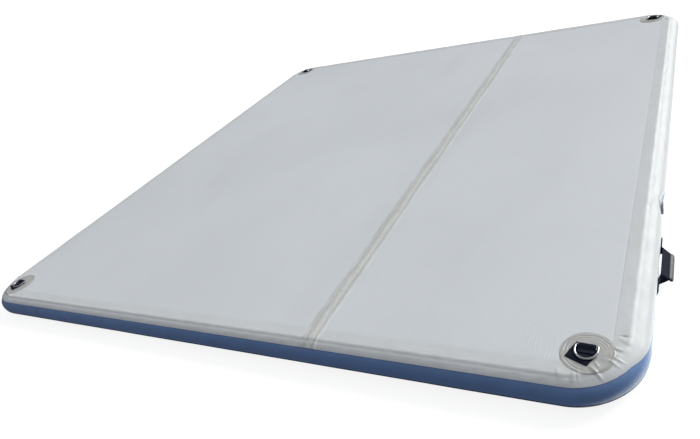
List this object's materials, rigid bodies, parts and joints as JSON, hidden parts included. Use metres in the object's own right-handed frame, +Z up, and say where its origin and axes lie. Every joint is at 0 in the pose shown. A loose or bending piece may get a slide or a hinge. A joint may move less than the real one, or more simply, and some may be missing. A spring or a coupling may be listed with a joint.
{
  "type": "inflatable gymnastics mat",
  "caption": "Square inflatable gymnastics mat of drop-stitch fabric with a half-round sidewall, corner D-rings, a webbing carry handle and an inflation valve.",
  "frame": {"origin": "middle of the underside, on the floor", "axes": "+Z up through the mat's thickness, +X towards the side with the carry handle and the inflation valve, +Y away from the front edge, so the seam between the two fabric widths runs along Y"},
  "size_m": [3.0393, 2.998, 0.1135],
  "materials": {
    "top_fabric": "pale grey PVC-coated drop-stitch fabric, fine knit showing through, satin",
    "base_fabric": "mid grey PVC-coated fabric, matt, fine grip texture",
    "seam_fabric": "pale grey PVC tape with faint glue wrinkles, satin",
    "edge_tape": "pale grey PVC tape wrapped over the edge, satin",
    "bottom_tape": "near-black navy PVC tape, satin",
    "blue_fabric": "blue PVC-coated sidewall fabric, satin",
    "yarn": "undyed polyester yarn",
    "webbing": "black woven polyester webbing",
    "ring_patch": "clear PVC patch yellowed slightly, glossy",
    "steel": "stainless wire, polished",
    "white_plastic": "white moulded plastic, satin",
    "grey_plastic": "grey moulded plastic, satin",
    "black_rubber": "black sealing rubber",
    "grip_rubber": "black soft grip, matt"
  },
  "bodies": {
    "mat": {"top_panel_wide": "top_fabric", "top_panel_narrow": "top_fabric", "bottom_panel_wide": "base_fabric", "bottom_panel_narrow": "base_fabric", "top_seam_tape": "seam_fabric", "bottom_seam_tape": "base_fabric", "top_edge_tape": "edge_tape", "bottom_edge_tape": "bottom_tape", "sidewall_band": "blue_fabric", "sidewall_inner_ply": "base_fabric", "drop_stitch_yarns_wide": "yarn", "drop_stitch_yarns_narrow": "yarn", "valve_gasket": "black_rubber", "valve_body": "white_plastic", "valve_spring": "steel", "valve_lock_nut": "white_plastic", "handle_patch_front": "blue_fabric", "handle_patch_back": "blue_fabric", "handle_tail_front": "webbing", "handle_tail_back": "webbing", "ring_patch_front_left": "ring_patch", "ring_base_front_left": "webbing", "ring_loop_front_left": "webbing", "ring_patch_front_right": "ring_patch", "ring_base_front_right": "webbing", "ring_loop_front_right": "webbing", "ring_patch_back_left": "ring_patch", "ring_base_back_left": "webbing", "ring_loop_back_left": "webbing", "ring_patch_back_right": "ring_patch", "ring_base_back_right": "webbing", "ring_loop_back_right": "webbing"},
    "carry_handle": {"handle_strap": "webbing", "handle_grip": "grip_rubber"},
    "valve_plunger": {"valve_plunger": "grey_plastic", "valve_plunger_seal": "black_rubber"},
    "valve_leash": {"valve_leash": "grey_plastic"},
    "cap_eye": {"valve_cap_eye": "grey_plastic"},
    "cap": {"valve_cap": "white_plastic", "valve_cap_seal": "black_rubber"},
    "d_ring_front_left": {"d_ring_front_left": "steel"},
    "d_ring_front_right": {"d_ring_front_right": "steel"},
    "d_ring_back_left": {"d_ring_back_left": "steel"},
    "d_ring_back_right": {"d_ring_back_right": "steel"}
  },
  "joints": [
    {"name": "ring_fold_front_left", "type": "hinge", "parent": "mat", "child": "d_ring_front_left", "pos_m": [-1.354, -1.354, 0.1085], "axis": [-0.9976, 0.0698, 0], "range_deg": [0, 184]},
    {"name": "ring_fold_front_right", "type": "hinge", "parent": "mat", "child": "d_ring_front_right", "pos_m": [1.35, -1.354, 0.1085], "axis": [-0.9976, 0.0698, 0], "range_deg": [0, 184]},
    {"name": "ring_fold_back_left", "type": "hinge", "parent": "mat", "child": "d_ring_back_left", "pos_m": [-1.35, 1.354, 0.1085], "axis": [0.9976, -0.0698, 0], "range_deg": [0, 184]},
    {"name": "ring_fold_back_right", "type": "hinge", "parent": "mat", "child": "d_ring_back_right", "pos_m": [1.354, 1.354, 0.1085], "axis": [0.9976, -0.0698, 0], "range_deg": [0, 184]},
    {"name": "handle_fold", "type": "hinge", "parent": "mat", "child": "carry_handle", "pos_m": [1.506, -0.935, 0.06], "axis": [0, -1, 0], "range_deg": [0, 130]},
    {"name": "plunger_push", "type": "slide", "parent": "mat", "child": "valve_plunger", "axis": [1, 0, 0], "range_m": [-0.007, 0], "stiffness_N_per_m": 400, "springref_m": 0.004, "deforming": ["valve_spring"]},
    {"name": "leash_turn", "type": "hinge", "parent": "mat", "child": "valve_leash", "pos_m": [1.4925, -0.637, 0.05], "axis": [1, 0, 0], "continuous": true},
    {"name": "cap_swing", "type": "hinge", "parent": "valve_leash", "child": "cap_eye", "pos_m": [1.4917, -0.607, 0.05], "axis": [0, 0, 1], "range_deg": [0, 135]},
    {"name": "cap_turn", "type": "hinge", "parent": "cap_eye", "child": "cap", "pos_m": [1.4965, -0.637, 0.05], "axis": [1, 0, 0], "range_deg": [0, 90]}
  ]
}
